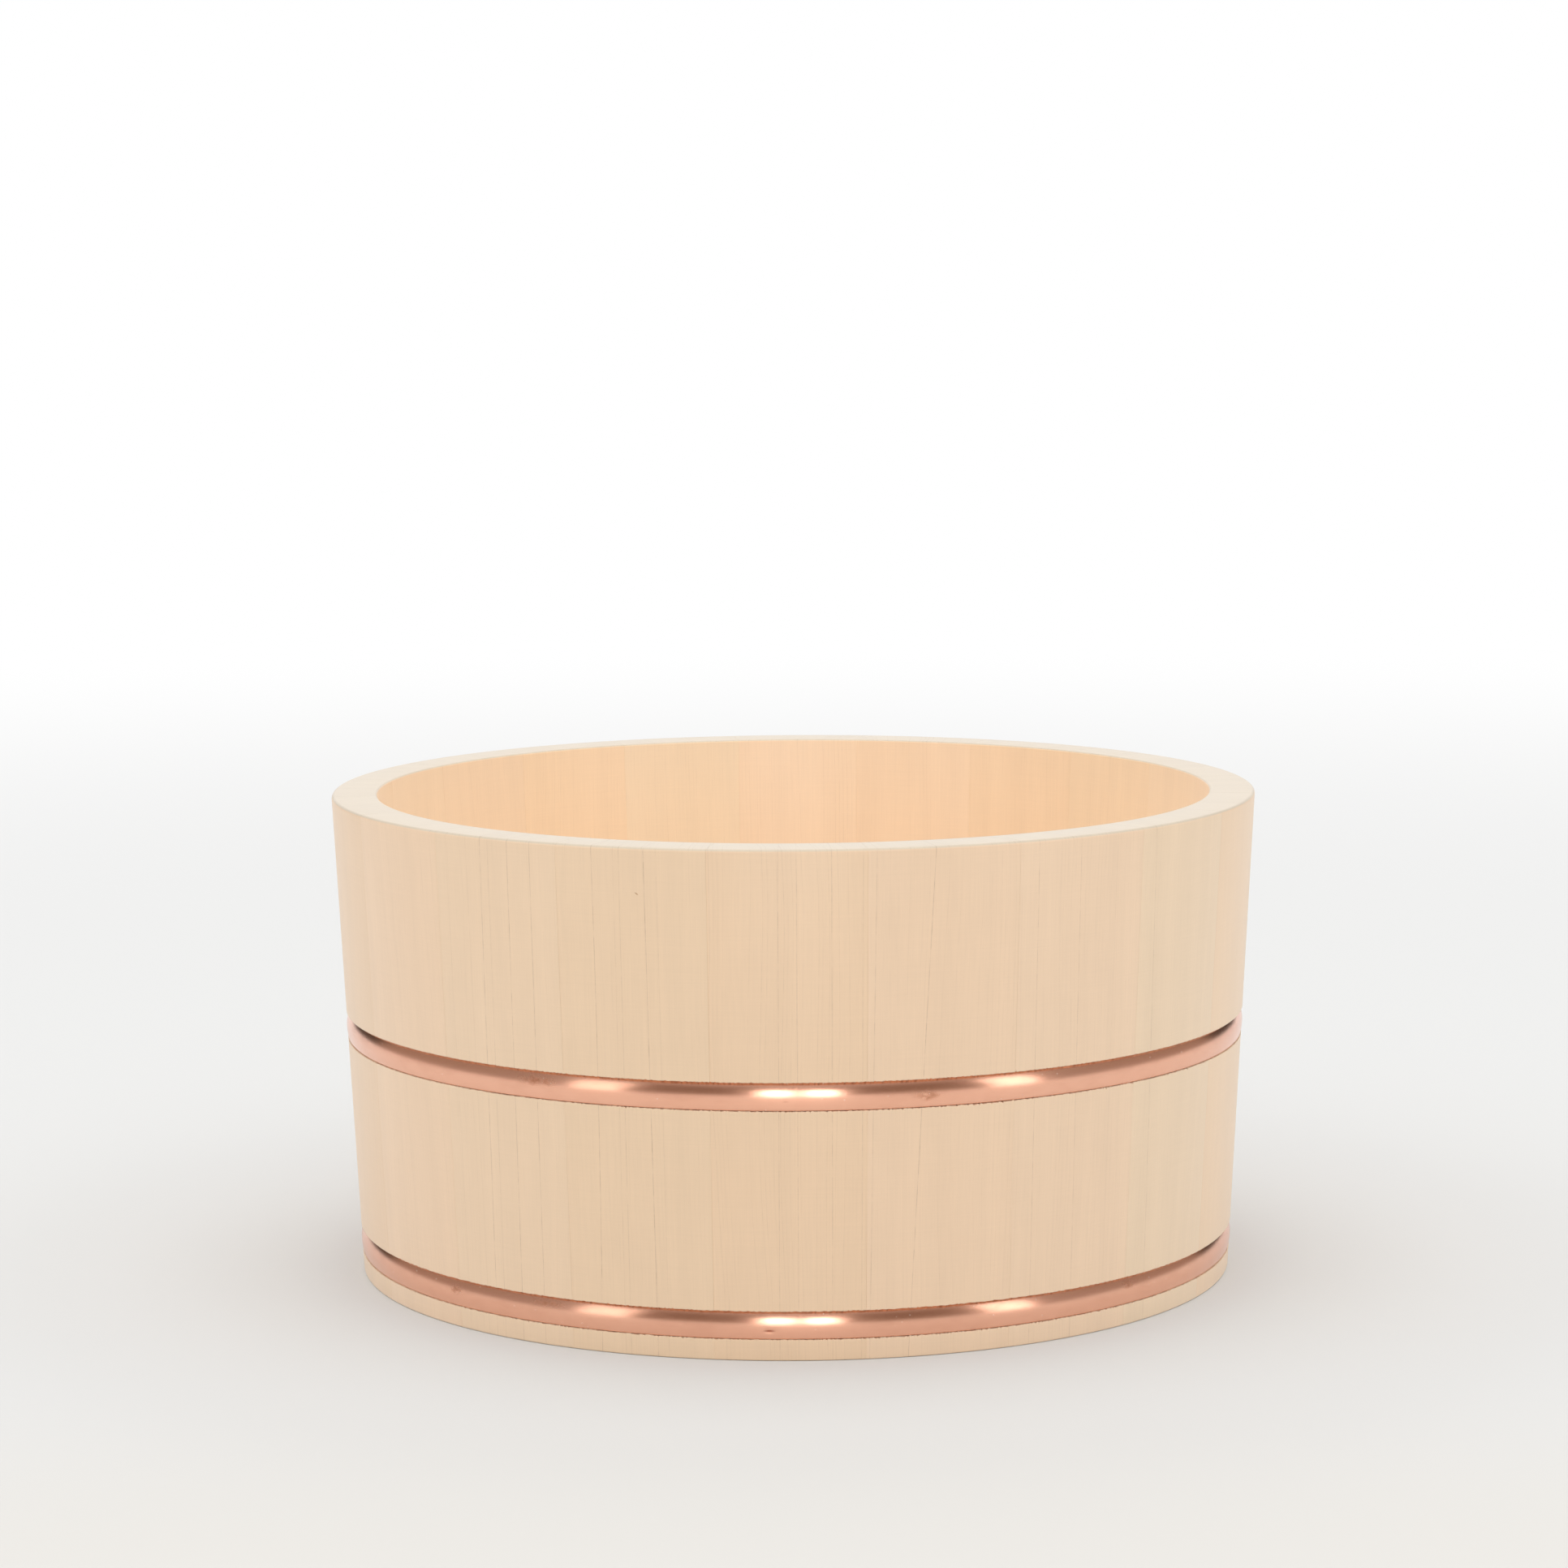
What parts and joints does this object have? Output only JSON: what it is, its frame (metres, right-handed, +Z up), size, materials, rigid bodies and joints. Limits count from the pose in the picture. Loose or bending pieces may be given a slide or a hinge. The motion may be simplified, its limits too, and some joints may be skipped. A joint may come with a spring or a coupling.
{
  "type": "wooden bath bucket",
  "caption": "Low round wooden bath bucket of tapered staves, with half-oval copper hoops set flush in the wall and a raised board bottom, for scooping and rinsing.",
  "frame": {"origin": "centre of the foot, in the plane that the bucket stands on", "axes": "+Z up along the axis of the bucket; the five wider staves face -Y, towards the viewer; +X is the viewer's right"},
  "size_m": [0.2249, 0.225, 0.117],
  "materials": {
    "stave_wood": "bare turned cypress",
    "bottom_wood": "bare planed cypress",
    "copper": "polished drawn copper",
    "bamboo": "bare split bamboo"
  },
  "bodies": {
    "root": {"wide_staves": "stave_wood", "narrow_staves": "stave_wood", "upper_hoop": "copper", "lower_hoop": "copper", "bottom_board_front": "bottom_wood", "bottom_board_middle": "bottom_wood", "bottom_board_back": "bottom_wood", "stave_pins": "bamboo", "bottom_pins": "bamboo"}
  },
  "joints": []
}
